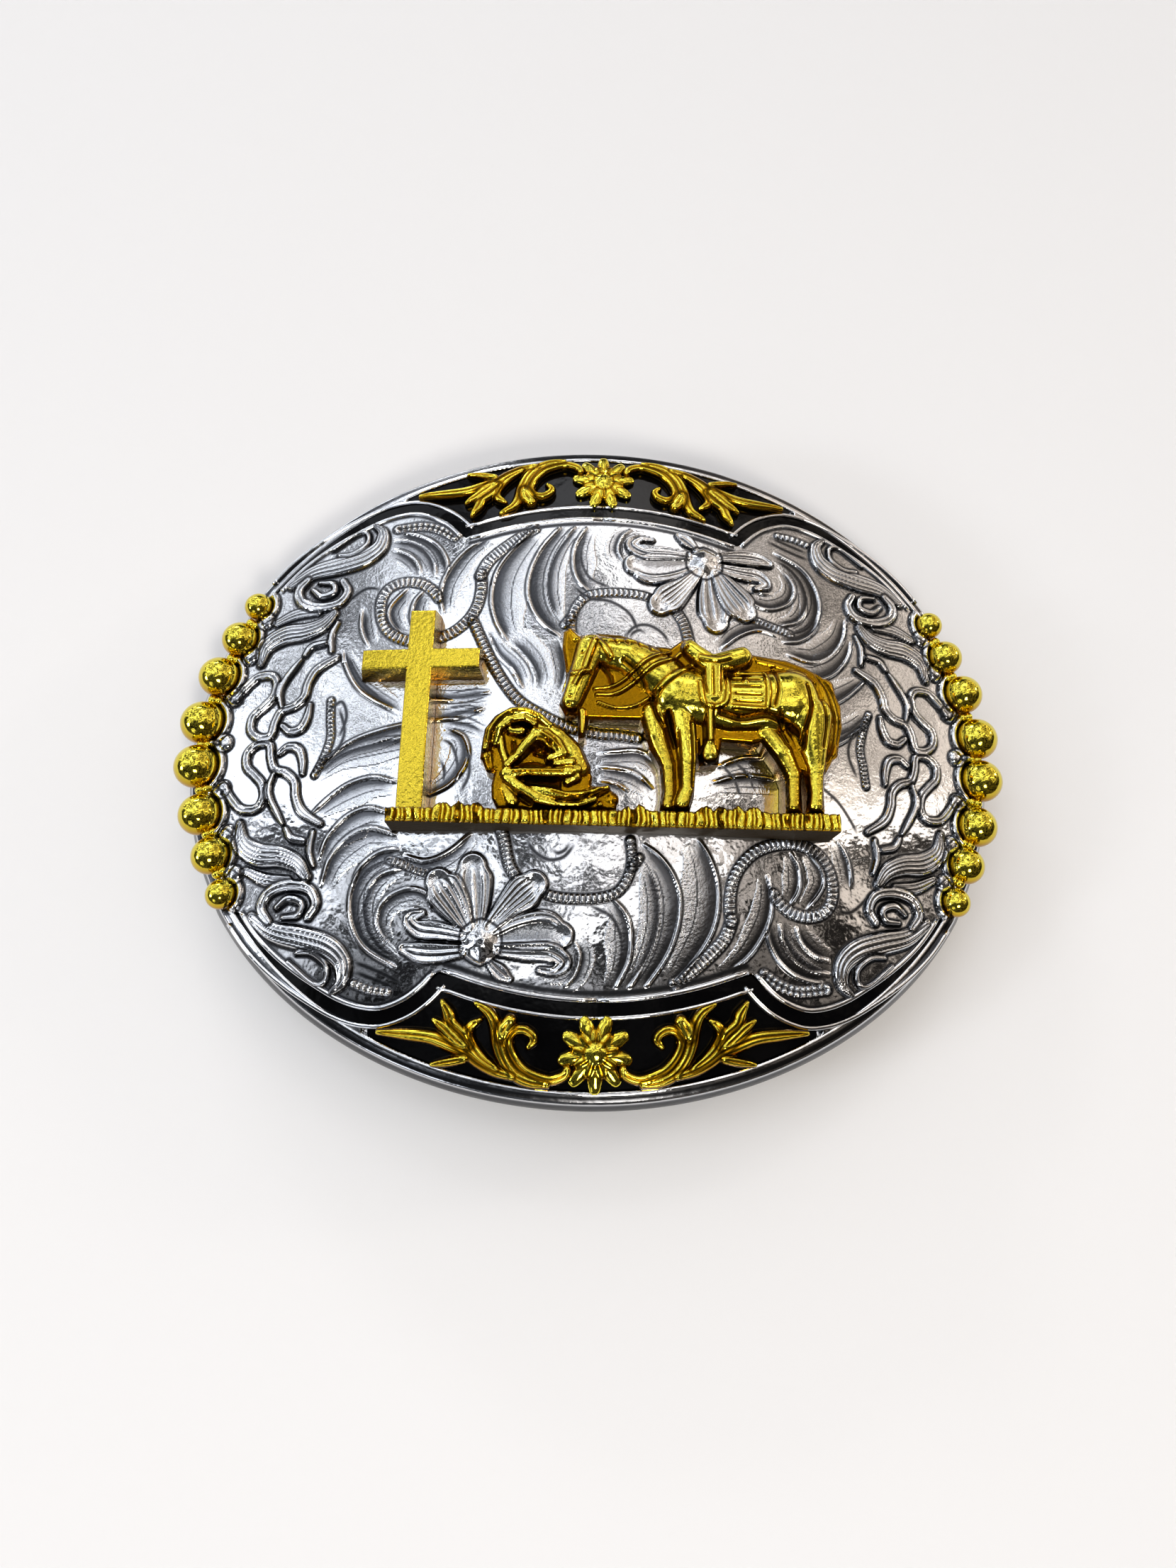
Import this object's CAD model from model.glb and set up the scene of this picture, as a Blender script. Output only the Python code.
import bpy
import bmesh
import math
import numpy as np
from mathutils import Matrix, Vector


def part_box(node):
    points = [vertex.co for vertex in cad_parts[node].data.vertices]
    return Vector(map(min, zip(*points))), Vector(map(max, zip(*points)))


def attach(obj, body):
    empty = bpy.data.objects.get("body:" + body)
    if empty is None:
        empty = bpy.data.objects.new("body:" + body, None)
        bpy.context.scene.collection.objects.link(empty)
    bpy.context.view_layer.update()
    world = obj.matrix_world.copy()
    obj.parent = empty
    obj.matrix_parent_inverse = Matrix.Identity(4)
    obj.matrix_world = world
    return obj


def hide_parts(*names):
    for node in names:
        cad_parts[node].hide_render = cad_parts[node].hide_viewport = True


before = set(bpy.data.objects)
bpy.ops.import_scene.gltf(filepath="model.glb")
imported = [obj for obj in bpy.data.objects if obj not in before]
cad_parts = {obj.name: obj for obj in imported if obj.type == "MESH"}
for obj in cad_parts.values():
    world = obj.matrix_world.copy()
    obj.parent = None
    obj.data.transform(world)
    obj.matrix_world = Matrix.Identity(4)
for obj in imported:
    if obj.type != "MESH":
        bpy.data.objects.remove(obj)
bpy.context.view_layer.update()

mm = 0.001
# The plate's bent face, in millimetres, as the CAD source has it
face = {"crown": 14.4, "bendX": 139.5, "bendY": 199.4, "half": (48.0, 38.9)}


def faceZ(x, y, lift=0.0):
    tube = face["bendY"] - face["bendX"] + np.sqrt((face["bendX"] + lift) ** 2 - np.asarray(x, float) ** 2)
    return face["crown"] - face["bendY"] + np.sqrt(tube ** 2 - np.asarray(y, float) ** 2)


def facePoint(x, y, lift):
    return x * mm, y * mm, float(faceZ(x, y, lift)) * mm


def unit(x):
    return np.clip(x, 0, 1)


# One in the middle, fading over the width
def bell(x, width):
    return np.exp(-(x / width) ** 2)


# sRGB hex to linear
def rgb(code):
    parts = [int(code[i:i + 2], 16) / 255 for i in (1, 3, 5)]
    return [p / 12.92 if p <= 0.04045 else ((p + 0.055) / 1.055) ** 2.4 for p in parts] + [1.0]


def addNode(tree, kind, inputs=None, **settings):
    node = tree.nodes.new(kind)
    for key, value in settings.items():
        setattr(node, key, value)
    for key, value in (inputs or {}).items():
        if isinstance(value, bpy.types.NodeSocket):
            tree.links.new(value, node.inputs[key])
        else:
            node.inputs[key].default_value = value
    return node


def newMaterial(name, tone, rough, metallic=0.0, specular=0.5):
    material = bpy.data.materials.new(name)
    material.use_nodes = True
    shader = material.node_tree.nodes["Principled BSDF"]
    for socket, value in (("Base Color", rgb(tone)), ("Roughness", rough), ("Metallic", metallic),
                          ("Specular IOR Level", specular)):
        shader.inputs[socket].default_value = value
    return material, material.node_tree, shader


# Bump from noise on the piece's own coordinates, its size and depth in millimetres
def noiseBump(tree, size, depth, detail=2.0, mask=None, under=None):
    place = addNode(tree, "ShaderNodeTexCoord").outputs["Object"]
    height = addNode(tree, "ShaderNodeTexNoise", {
        "Vector": place, "Scale": 1 / (size * mm), "Detail": detail}).outputs["Fac"]
    if mask is not None:
        height = addNode(tree, "ShaderNodeMath", {0: height, 1: mask}, operation="MULTIPLY").outputs["Value"]
    inputs = {"Height": height, "Strength": 1.0, "Distance": depth * mm}
    if under is not None:
        inputs["Normal"] = under
    return addNode(tree, "ShaderNodeBump", inputs).outputs["Normal"]


# Plated casting: its tones and roughness go from crest to recess, over soft waves and grit
def platedMetal(name, look):
    material, tree, shader = newMaterial(name, look["tones"][0], look["crest"], 1.0)
    cavity = addNode(tree, "ShaderNodeAttribute", attribute_name="cavity").outputs["Fac"]
    grain = addNode(tree, "ShaderNodeAttribute", attribute_name="grain").outputs["Fac"]
    ramp = addNode(tree, "ShaderNodeValToRGB", {"Fac": cavity})
    stops = ramp.color_ramp.elements
    stops.new(look["turn"])
    for stop, tone in zip(stops, look["tones"]):
        stop.color = rgb(tone)
    tree.links.new(ramp.outputs["Color"], shader.inputs["Base Color"])
    rough = addNode(tree, "ShaderNodeMapRange", {
        "Value": cavity, "To Min": look["crest"], "To Max": look["recess"]}).outputs["Result"]
    tree.links.new(rough, shader.inputs["Roughness"])
    waves = noiseBump(tree, look["wave"], look["waveDepth"])
    grit = noiseBump(tree, look["grit"], look["gritDepth"], 3.0, grain, waves)
    tree.links.new(grit, shader.inputs["Normal"])
    return material


def plainFinish(name, tone, rough, size, depth, detail=2.0, metallic=0.0, specular=0.5):
    material, tree, shader = newMaterial(name, tone, rough, metallic, specular)
    tree.links.new(noiseBump(tree, size, depth, detail), shader.inputs["Normal"])
    return material


# Bright nickel plate on a polished casting: mirror flats, with the cut lines dark where polish never reaches
nickel = platedMetal("silver_plate", {
    "tones": ("#E4E5E7", "#545558", "#0C0C0D"), "turn": 0.55, "crest": 0.06, "recess": 0.26,
    "wave": 1.5, "waveDepth": 0.04, "grit": 0.3, "gritDepth": 0.11})
# Yellow gold plate on a tumbled casting: soft bright highlights, going amber in the recesses
goldPlate = platedMetal("gold_plate", {
    "tones": ("#E0CE46", "#AE7F0E", "#1A1202"), "turn": 0.55, "crest": 0.08, "recess": 0.24,
    "wave": 0.9, "waveDepth": 0.035, "grit": 0.42, "gritDepth": 0.1})
# The casting's deep walls, which plating and polish hardly reach: dark and dull, pitted 0.4 mm apart
deepWall = plainFinish("shaded_casting", "#2B1F07", 0.6, 0.4, 0.05, specular=0.15)
# Poured black enamel, glassy with a faint orange peel 1.4 mm apart
enamel = plainFinish("black_enamel", "#050506", 0.1, 10 / 7, 0.02, specular=0.2)
# Unpolished nickel on the back: satin, from a casting blasted with 0.2 mm grit
satinNickel = plainFinish("back_nickel", "#A9AAAB", 0.42, 0.2, 0.02, 3.0, metallic=1.0)


# Smooth curve through the rows' points, with their further columns
def curve(rows, steps=6):
    r = np.array(rows, float)
    p = np.vstack([2 * r[0] - r[1], r, 2 * r[-1] - r[-2]])
    t = np.linspace(0, 1, steps, endpoint=False)[:, None]
    out = [0.5 * (2 * b + (c - a) * t + (2 * a - 5 * b + 4 * c - d) * t * t
                  + (3 * b - a - 3 * c + d) * t ** 3)
           for a, b, c, d in zip(p[:-3], p[1:-2], p[2:-1], p[3:])]
    return np.vstack(out + [r[-1:]])


def tangents(p):
    d = np.gradient(p[:, :2], axis=0)
    return d / (np.hypot(d[:, 0], d[:, 1])[:, None] + 1e-9)


# The same path, moved to its left by run
def offset(rows, run):
    p = np.array(rows, float)
    d = tangents(p)
    p[:, 0] -= d[:, 1] * run
    p[:, 1] += d[:, 0] * run
    return p


def mirrored(rows, sx, sy):
    return [[sx * r[0], sy * r[1], *r[2:]] for r in rows]


# As drawn, and turned half round
def bothWays(rows):
    return rows, mirrored(rows, -1, -1)


def bothSides(half):
    return [[-x, y] for x, y in half[:0:-1]] + half


# Grid of heights in millimetres, with how dark and how gritty each point is
class Sheet:
    def __init__(self, x0, x1, y0, y1, step, base=0.0):
        self.xs = np.arange(math.floor(x0 / step), math.ceil(x1 / step) + 1) * step
        self.ys = np.arange(math.floor(y0 / step), math.ceil(y1 / step) + 1) * step
        self.step = step
        self.x, self.y = np.meshgrid(self.xs, self.ys)
        self.h = np.full(self.x.shape, float(base))
        self.cavity = np.zeros(self.x.shape)
        self.grain = np.zeros(self.x.shape)

    def window(self, low, high):
        i0, i1 = np.searchsorted(self.xs, [low[0], high[0]])
        j0, j1 = np.searchsorted(self.ys, [low[1], high[1]])
        return slice(j0, j1), slice(i0, i1)

    # Around a curve: distance from it, way along it, side of it, its half width there, and its length
    def near(self, rows, reach, steps=6):
        c = curve(rows, steps) if steps else np.array(rows, float)
        width = c[:, 2] if c.shape[1] > 2 else np.zeros(len(c))
        win = self.window(c[:, :2].min(0) - reach, c[:, :2].max(0) + reach)
        shape = self.x[win].shape
        best = np.full(shape, 4.0 * reach * reach)
        along, side, half = np.zeros(shape), np.ones(shape), np.full(shape, 1e-3)
        run = 0.0
        for k, (a, b) in enumerate(zip(c[:-1, :2], c[1:, :2])):
            dx, dy = b - a
            length = math.hypot(dx, dy)
            if length < 1e-6:
                continue
            part = self.window(np.minimum(a, b) - reach, np.maximum(a, b) + reach)
            part = tuple(slice(s.start - w.start, s.stop - w.start) for s, w in zip(part, win))
            px, py = self.x[win][part] - a[0], self.y[win][part] - a[1]
            t = unit((px * dx + py * dy) / length ** 2)
            d2 = (px - t * dx) ** 2 + (py - t * dy) ** 2
            closer = d2 < best[part]
            for grid, new in ((best, d2), (along, run + t * length), (side, np.sign(dx * py - dy * px)),
                              (half, width[k] + t * (width[k + 1] - width[k]))):
                grid[part] = np.where(closer, new, grid[part])
            run += length
        return win, np.sqrt(best), along, side, half, run


# Fades a stroke over both ends
def taper(along, run, ends):
    if ends <= 0:
        return 1.0
    return unit(np.minimum(along, run - along) / ends) ** 0.7


def darken(s, win, amount):
    s.cavity[win] = np.maximum(s.cavity[win], amount)


# Cut line: a narrow valley
def groove(s, rows, width=0.2, depth=0.22, dark=0.75, ends=1.0):
    win, d, along, side, half, run = s.near(rows, 4 * width)
    k = bell(d, width) * taper(along, run, ends)
    s.h[win] -= depth * k
    darken(s, win, dark * k)


# Raised line, rounded across
def ridge(s, rows, half, height, ends, dark):
    win, d, along, side, _, run = s.near(rows, half + 0.6)
    k = taper(along, run, ends)
    s.h[win] += height * k * unit(1 - (d / half) ** 2)
    darken(s, win, dark * k * bell(d - half - 0.05, 0.12))


# Scooped cut: steep at the line itself, running out over the rows' third column on one side, with
# a fine line inside the wide ones
scoopShape = {"wide": 1.8, "fall": 1.9, "deepest": 0.85, "ends": 1.6, "line": 0.46, "lineFrom": 0.6,
              "lineHeight": 0.14, "dark": 0.85, "slopeDark": 0.78, "lineDark": 0.7, "grit": 0.9}


def scoop(s, rows, turn, depth):
    c = scoopShape
    win, d, along, side, half, run = s.near(rows, c["wide"] * max(r[2] for r in rows) + 0.3)
    t = unit(d / (c["wide"] * np.maximum(half, 0.05)))
    k = taper(along, run, c["ends"])
    inner = side * turn > 0
    sloped = np.where(inner, (1 - t) ** c["fall"] + 0.12 * np.sin(math.pi * t), bell(d, 0.13))
    s.h[win] = np.minimum(s.h[win], s.h[win] * 0.25 - min(depth, c["deepest"]) * k * sloped)
    fromLine = (t - c["line"]) * c["wide"] * half
    lined = inner * (half > c["lineFrom"])
    s.h[win] += c["lineHeight"] * k * bell(fromLine, 0.09) * lined
    darken(s, win, k * np.where(inner, c["dark"] * bell(d, 0.26), 0.6 * bell(d, 0.12)))
    darken(s, win, c["slopeDark"] * k * inner * (1 - t) ** c["fall"])
    darken(s, win, c["lineDark"] * k * lined * bell(fromLine - 0.16, 0.08))
    s.grain[win] = np.maximum(s.grain[win], c["grit"] * k * (t < 1) * inner * t)


# Beaded or ribbed band
def milgrain(s, rows, half, pitch, height, across=1, cut=0.12, dark=0.95):
    win, d, along, side, _, run = s.near(rows, half + 0.5)
    t = d / half
    body = unit(1 - t ** 4)
    wave = np.abs(np.cos(math.pi * along / (run / max(1, round(run / pitch)))))
    if across > 1:
        wave = wave * np.abs(np.sin(math.pi * across * (side * t + 1) / 2))
    s.h[win] += body * (height * wave ** 0.8 - cut)
    darken(s, win, dark * body * unit(1 - wave * 1.6))
    darken(s, win, 0.8 * bell(d - half - 0.04, 0.14))


# Raised ribbon with a rolled profile and lines along it, or one soft fold
def band(s, rows, height, lines, cut=0.16, dark=0.6):
    win, d, along, side, half, run = s.near(rows, max(r[2] for r in rows) + 0.5)
    t = d / np.maximum(half, 0.05)
    body = unit(1 - t ** 4) ** 0.5
    across = (side * t + 1) * (lines + 1) / 2
    marks = unit(np.cos(math.pi * across))
    if lines:
        marks = bell(np.abs((across + 0.5) % 1 - 0.5) * 2 * half / (lines + 1), 0.09)
        marks = marks * (t < 1 - 0.6 / (lines + 1))
    top = height * body - cut * marks * body
    s.h[win] = np.where(t < 1, np.maximum(s.h[win], 0) * (1 - body) + top, s.h[win])
    darken(s, win, dark * marks * (t < 1))
    s.cavity[win] = np.where(t < 0.92, np.minimum(s.cavity[win], dark * marks), s.cavity[win])
    darken(s, win, 0.85 * bell(d - half - 0.08, 0.17))


# Cupped petal with a raised edge: the half width comes from the rows, with veins along it
def petal(s, rows, height, veins, vein=0.2, dark=0.75, lip=0.82):
    win, d, along, side, half, run = s.near(rows, max(r[2] for r in rows) + 0.5)
    t = np.clip(d / np.maximum(half, 0.05), 0, 3)
    body = np.where(t < lip, 0.66 + 0.34 * (t / lip) ** 2, np.sqrt(unit(1 - ((t - lip) / 0.18) ** 2)))
    fade = unit((run - along) / (0.2 * run))
    marks = 0.0
    for v in range(veins):
        where = 0.0 if veins == 1 else -0.55 + 1.1 * v / (veins - 1)
        marks = np.maximum(marks, bell(side * d - where * half, 0.15))
    s.h[win] = np.where(t < 1, np.maximum(s.h[win], height * body + vein * marks * fade), s.h[win])
    shade = dark * bell(side * d - 0.2, 0.12) * fade if veins == 1 else dark * (1 - marks) * 0.4 * fade
    s.cavity[win] = np.where(t < 0.92, shade, s.cavity[win])
    s.grain[win] = np.where(t < 0.92, 0.2, s.grain[win])
    darken(s, win, 0.8 * bell(d - half - 0.05, 0.15))


def addObject(name, data):
    thing = bpy.data.objects.new(name, data)
    bpy.context.scene.collection.objects.link(thing)
    return thing


def finishMesh(bm, name, material, nodes=(), smooth=True):
    bmesh.ops.recalc_face_normals(bm, faces=bm.faces)
    for f in bm.faces:
        f.smooth = smooth
    mesh = bpy.data.meshes.new(name)
    bm.to_mesh(mesh)
    bm.free()
    piece = addObject(name, mesh)
    mesh.materials.append(material)
    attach(piece, "root")
    if nodes:
        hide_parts(*nodes)
    return piece


def only(kind, geom):
    return [g for g in geom if isinstance(g, kind)]


def settle(v, lift):
    v.co = facePoint(v.co.x / mm, v.co.y / mm, lift)


def bilinear(s, grid, x, y):
    u = np.clip((x - s.xs[0]) / s.step, 0, len(s.xs) - 1.001)
    v = np.clip((y - s.ys[0]) / s.step, 0, len(s.ys) - 1.001)
    i, j = u.astype(int), v.astype(int)
    fu, fv = u - i, v - j
    return ((grid[j, i] * (1 - fu) + grid[j, i + 1] * fu) * (1 - fv)
            + (grid[j + 1, i] * (1 - fu) + grid[j + 1, i + 1] * fu) * fv)


# Closed relief: the sheet where edge is negative, walls down to under, and a filled back. Its heights
# follow the bent face, or stand over the crown where it is flat
def relief(name, s, edge, under, material, nodes, flip=(1, 1), part=(slice(None), slice(None)),
           flat=False, foot=0.3, wall=None):
    x, y, f = s.x[part].copy(), s.y[part].copy(), edge[part]
    ny, nx = x.shape
    inside = f < -0.25 * s.step
    cells = inside[:-1, :-1] | inside[1:, :-1] | inside[:-1, 1:] | inside[1:, 1:]
    used = np.zeros((ny, nx), bool)
    for dj in (0, 1):
        for di in (0, 1):
            used[dj:ny - 1 + dj, di:nx - 1 + di] |= cells
    gy, gx = (g[part] for g in np.gradient(edge, s.step))
    pull = np.clip(f / np.maximum(gx ** 2 + gy ** 2, 0.05), -1.2 * s.step, 1.2 * s.step)
    pull = np.where(used & ~inside, pull, 0.0)
    x -= pull * gx
    y -= pull * gy
    h, cavity, grain = (bilinear(s, grid, x, y) for grid in (s.h, s.cavity, s.grain))
    z = face["crown"] + h if flat else faceZ(x, y, h)

    bm = bmesh.new()
    bmesh.ops.create_grid(bm, x_segments=nx - 1, y_segments=ny - 1, size=1.0)
    bm.verts.ensure_lookup_table()
    cavityLayer = bm.verts.layers.float.new("cavity")
    grainLayer = bm.verts.layers.float.new("grain")
    values = [g.ravel().tolist() for g in (x * flip[0], y * flip[1], z, cavity, grain)]
    for v, vx, vy, vz, vc, vg in zip(bm.verts, *values):
        v.co = (vx * mm, vy * mm, vz * mm)
        v[cavityLayer] = vc
        v[grainLayer] = vg
    dead = [v for v, live in zip(bm.verts, used.ravel().tolist()) if not live]
    bmesh.ops.delete(bm, geom=dead, context="VERTS")
    bmesh.ops.delete(bm, geom=[v for v in bm.verts if not v.link_faces], context="VERTS")
    rim = [e for e in bm.edges if e.is_boundary]
    made = bmesh.ops.extrude_edge_only(bm, edges=rim)["geom"]
    for g in only(bmesh.types.BMFace, made):
        g.material_index = 1 if wall else 0
    for v in only(bmesh.types.BMVert, made):
        settle(v, under)
        v[cavityLayer] = foot
    ring = [e for e in only(bmesh.types.BMEdge, made) if e.is_boundary]
    filled = bmesh.ops.triangle_fill(bm, edges=ring, use_beauty=True)["geom"]
    inner = [e for e in only(bmesh.types.BMEdge, filled) if e.calc_length() > 5 * mm]
    if inner:
        cut = bmesh.ops.subdivide_edges(bm, edges=inner, cuts=3, use_grid_fill=True)
        for v in only(bmesh.types.BMVert, cut["geom_inner"]):
            settle(v, under)
    for e in rim + [e for e in ring if e.is_valid]:
        e.smooth = False
    piece = finishMesh(bm, name, material, nodes)
    if wall:
        piece.data.materials.append(wall)
    print(name, len(piece.data.polygons), "faces")
    return piece


# Shading normals from the heights themselves, so that the plate's parts meet without a seam
def setNormals(mesh, s):
    z = faceZ(s.x, s.y, s.h)
    gy, gx = np.gradient(z, s.step)
    co = np.zeros(len(mesh.vertices) * 3)
    mesh.vertices.foreach_get("co", co)
    x, y, height = co.reshape(-1, 3).T / mm
    n = np.stack([-bilinear(s, gx, x, y), -bilinear(s, gy, x, y), np.ones(len(x))], 1)
    n /= np.linalg.norm(n, axis=1)[:, None]
    n[np.abs(bilinear(s, z, x, y) - height) >= 0.02] = 0.0
    mesh.normals_split_custom_set_from_vertices(n.tolist())


# Strip with a half-round top along a path on the face
def wire(bm, path, half, lift, depth=0.6, sides=6):
    d = tangents(path)
    made = bmesh.ops.create_grid(bm, x_segments=sides + 1, y_segments=len(path) - 1, size=1.0)["verts"]
    for k, v in enumerate(made):
        j, i = divmod(k, sides + 2)
        i %= sides + 1
        run = half * math.cos(math.pi * i / sides)
        up = lift * math.sin(math.pi * i / sides) if 0 < i < sides else -depth
        v.co = facePoint(path[j, 0] - d[j, 1] * run, path[j, 1] + d[j, 0] * run, up)
    bmesh.ops.remove_doubles(bm, verts=made, dist=1e-7)


# The enamel line's path, in millimetres: an arc between the cusps, then a lobe on each side
linePath = {"top": 28.95, "bend": 45.6, "cusp": 16.5, "fieldEnd": 24.4}
lobe = [[16.5, 26], [18.2, 27.7], [20, 28.9], [22.5, 29.75], [25, 29.6], [27.5, 28.8],
        [30, 27.5], [32.5, 26], [35, 24.2], [37.3, 22.1], [39.4, 19.6]]
lobeCurve = curve(lobe, 4).tolist()
arcHalf = [[x, linePath["top"] - linePath["bend"] + math.sqrt(linePath["bend"] ** 2 - x * x)]
           for x in np.linspace(0, linePath["cusp"], 12)[:-1]]

# Strokes of the field's lower half; the upper half is the same turned half round
grooves = [
    [[-7.9, -11.4], [-7, -12.8], [-5.4, -13.7], [-3.8, -13.4], [-2.6, -12]],
    [[-29.8, 3.6], [-28.9, 1], [-29.3, -1], [-31, -3.6]],
    [[-1, -18.4], [1.4, -19.6], [2.4, -21.4], [2.6, -23.4], [2, -25.6]],
    [[-25.8, -24.2], [-23, -25.2], [-20.4, -26.4]],
    [[-25.6, -25.2], [-23.4, -26], [-21, -26.9]],
    [[26.2, -18.4], [28, -18.6], [29.6, -17.5], [30.6, -16.3]],
    [[24.8, -4.4], [27.2, -6.4], [28.7, -8.6], [29.4, -10]],
    [[-5.2, -12.6], [-4.4, -13], [-3.6, -12.6], [-3.2, -11.8]],
]
scoops = [   # rows of [x, y, width], then the side it falls to and the depth
    ([[4.6, -12.2, 0.8], [6.4, -13.5, 1.5], [7.8, -15.4, 2], [8.5, -17.8, 2.2], [8.2, -20.6, 2],
     [7, -23.6, 1.5], [4.6, -26.9, 0.7]], -1, 0.55),
    ([[10.6, -11.4, 1], [12, -13.8, 1.8], [12.7, -16.6, 2.2], [12.4, -19.8, 2.2], [11, -22.6, 1.8],
     [8, -26.2, 0.8]], -1, 0.6),
    ([[1.2, -17.9, 0.5], [2.6, -19.4, 1], [3.2, -21.4, 1.4], [3, -24, 1.2], [1.6, -26.8, 0.5]], -1, 0.4),
    ([[5, -14.4, 0.4], [5.9, -16, 0.9], [6.4, -18.4, 1.1], [6.1, -21.2, 1], [5, -24, 0.8],
     [2.9, -26.9, 0.4]], -1, 0.4),
    ([[-31.5, -3.6, 0.3], [-28, -0.9, 0.8], [-24.5, 0.4, 1], [-21, 1.2, 0.6]], -1, 0.3),
    ([[-31.8, -4.5, 0.4], [-29, -2, 1], [-25, -0.8, 1.3], [-21, -0.5, 0.8]], -1, 0.4),
    ([[-31.6, -8.9, 0.3], [-29.6, -7, 1], [-27.5, -5.6, 1.4], [-25, -5, 1.2], [-22.4, -5.6, 0.6]], -1, 0.4),
    ([[-30.1, -13.8, 0.4], [-29.4, -11.4, 1], [-27.6, -9.3, 1.5], [-25.4, -8.4, 1.4], [-23, -9, 0.7]],
     -1, 0.45),
    ([[-29.6, -16.6, 0.5], [-28.9, -13.6, 1.2], [-27.2, -11.4, 1.7], [-25, -10.6, 1.4], [-22, -11.4, 0.6]],
     -1, 0.45),
    ([[-26.2, -16.6, 0.5], [-25.4, -14.6, 0.8], [-23.6, -13.2, 1], [-21.4, -12.9, 0.6]], -1, 0.35),
    ([[-22, -13.4, 0.4], [-24.8, -14.6, 0.9], [-26.2, -17, 1.2], [-26, -20, 1.2], [-24.4, -22.6, 0.9],
     [-21, -24.5, 0.4]], 1, 0.45),
    ([[-21, -14.9, 0.3], [-23.6, -15.8, 0.7], [-24.9, -18, 0.9], [-24.6, -20.6, 0.9], [-23.2, -22.6, 0.7],
     [-21.2, -23.8, 0.3]], 1, 0.35),
    ([[-17.9, -19.2, 0.3], [-18.4, -17.6, 0.7], [-20.4, -17.1, 0.9], [-22.6, -18.2, 0.9],
     [-23.2, -20.2, 0.7], [-22, -22.4, 0.3]], 1, 0.35),
    ([[-20.8, -19.4, 0.3], [-19.4, -19.2, 0.5], [-18.2, -19.8, 0.4]], -1, 0.25),
    ([[18.2, -14.9, 0.4], [18.7, -17, 0.9], [18.5, -19.2, 1.1], [17.5, -21.4, 1.1], [15.9, -23.4, 0.8],
     [13.4, -25.2, 0.4]], -1, 0.5),
    ([[21, -12.4, 0.3], [21.9, -14.3, 0.9], [21.8, -16.3, 0.9], [20.7, -18, 0.4]], -1, 0.45),
    ([[23, -12.4, 0.3], [24.5, -14.2, 0.8], [24.6, -15.9, 0.8], [22.7, -18.3, 0.4]], -1, 0.4),
    ([[18.8, -20, 0.5], [19, -22, 1], [20.2, -24, 1.1], [22.2, -25.3, 1], [25, -25.9, 0.5]], 1, 0.45),
    ([[20.2, -19.9, 0.4], [20.5, -21.9, 0.9], [21.7, -23.6, 1], [23.5, -24.6, 0.9], [25.6, -24.8, 0.4]],
     1, 0.4),
    ([[22, -20.1, 0.4], [22.5, -21.7, 0.8], [23.7, -22.9, 0.9], [25.6, -23.5, 0.4]], 1, 0.35),
    ([[26.7, -10.9, 0.4], [27.8, -13.3, 0.9], [28, -16, 0.6]], -1, 0.35),
    ([[-19.2, -6.6, 0.4], [-16.6, -5.2, 0.8], [-15, -2.6, 1], [-15.6, -0.3, 0.8], [-17.6, 0.4, 0.4]],
     1, 0.35),
    ([[-5.6, -25.6, 0.4], [-3.7, -25.1, 0.8], [-3.3, -23.6, 0.9], [-4.2, -22.4, 0.6]], -1, 0.35),
    ([[-2.2, -22, 0.4], [-1.5, -23.6, 0.7], [-2, -25.6, 0.6], [-3.2, -27, 0.3]], 1, 0.3),
    ([[13.2, -3.5, 0.4], [16, -2.4, 0.8], [19, -2.1, 0.8]], -1, 0.3),
    ([[12.6, -5.3, 0.4], [16, -4.4, 0.9], [20.2, -4.6, 0.8]], -1, 0.35),
    ([[-13.6, -11.2, 0.4], [-16, -13.2, 0.9], [-18.6, -14.2, 0.9], [-21.2, -13.6, 0.4]], 1, 0.3),
]
milgrains = [   # rows, half width, pitch, number across
    ([[-10.6, -10.6], [-10.2, -11.8], [-9.9, -13.2], [-9.4, -14.6], [-8.2, -16.2], [-6.4, -17]],
     0.5, 0.42, 1),
    ([[-6.4, -17], [-4.6, -17.6], [-2.2, -17.8], [0, -17.7], [1.8, -17.2], [2.8, -16.2], [3.4, -14.9],
     [3.6, -13.4], [3.4, -11.6]], 0.42, 0.5, 1),
    ([[4.4, -13.4], [3.7, -14.4]], 0.4, 0.45, 1),
    ([[14.4, -20], [14.3, -18], [14.6, -16], [15.4, -14.3], [16.8, -12.8], [18.2, -12], [20, -11.5],
     [21.8, -11.4], [23.6, -11.9], [25, -12.9],
      [25.9, -14.6], [26.1, -16.6], [25.6, -18.1], [24.4, -19], [22.8, -19.2], [21.2, -18.8], [20, -17.9],
       [19.2, -16.9]], 0.5, 0.5, 1),
    ([[14.5, -19.8], [13.7, -21.7], [12.2, -23.3], [10.2, -25], [8.3, -26.4]], 0.55, 0.42, 1),
    ([[18, -25.3], [19.8, -26.4], [22, -27], [25, -26.7]], 0.5, 0.55, 2),
    ([[-22.6, -13.7], [-20.5, -14.4], [-18.4, -15.1], [-16.2, -15.4]], 0.36, 0.42, 1),
    ([[-25.6, -26.4], [-23.9, -27], [-21.9, -27.3]], 0.34, 0.5, 1),
    ([[-30.8, 4.4], [-30.6, 2], [-30.4, 0], [-31, -2.4], [-31.8, -4.2]], 0.36, 0.42, 1),
]
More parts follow.
